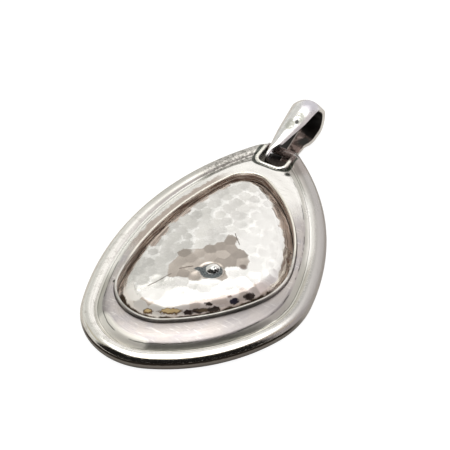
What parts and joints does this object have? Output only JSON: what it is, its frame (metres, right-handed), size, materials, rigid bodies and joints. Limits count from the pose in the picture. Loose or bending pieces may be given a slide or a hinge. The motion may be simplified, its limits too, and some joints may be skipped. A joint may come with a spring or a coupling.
{
  "type": "hammered silver pendant",
  "caption": "Rounded triangular pendant with a rolled rim, a stepped inner band, a hammered domed plate in a bezel, and a folded tapering bail in a wire-edged hole at the tip.",
  "frame": {"origin": "on the flat back face, below the line of the bail, midway along the frame", "axes": "+Y along the pendant towards the bail, +X to the right seen from the front, +Z out of the hammered front"},
  "size_m": [0.0337, 0.0628, 0.0062],
  "materials": {
    "frame_silver": "polished silver rim, worn satin inner band",
    "hammered_silver": "hammered and polished silver with light tarnish",
    "bail_silver": "polished silver"
  },
  "bodies": {
    "pendant": {"frame": "frame_silver", "hammered_dome": "hammered_silver"},
    "bail": {"bail": "bail_silver"}
  },
  "joints": [
    {"name": "bail_swing", "type": "hinge", "parent": "pendant", "child": "bail", "pos_m": [0, 0.02515, 0.0017], "axis": [1, 0, 0], "range_deg": [-135, 118]}
  ]
}
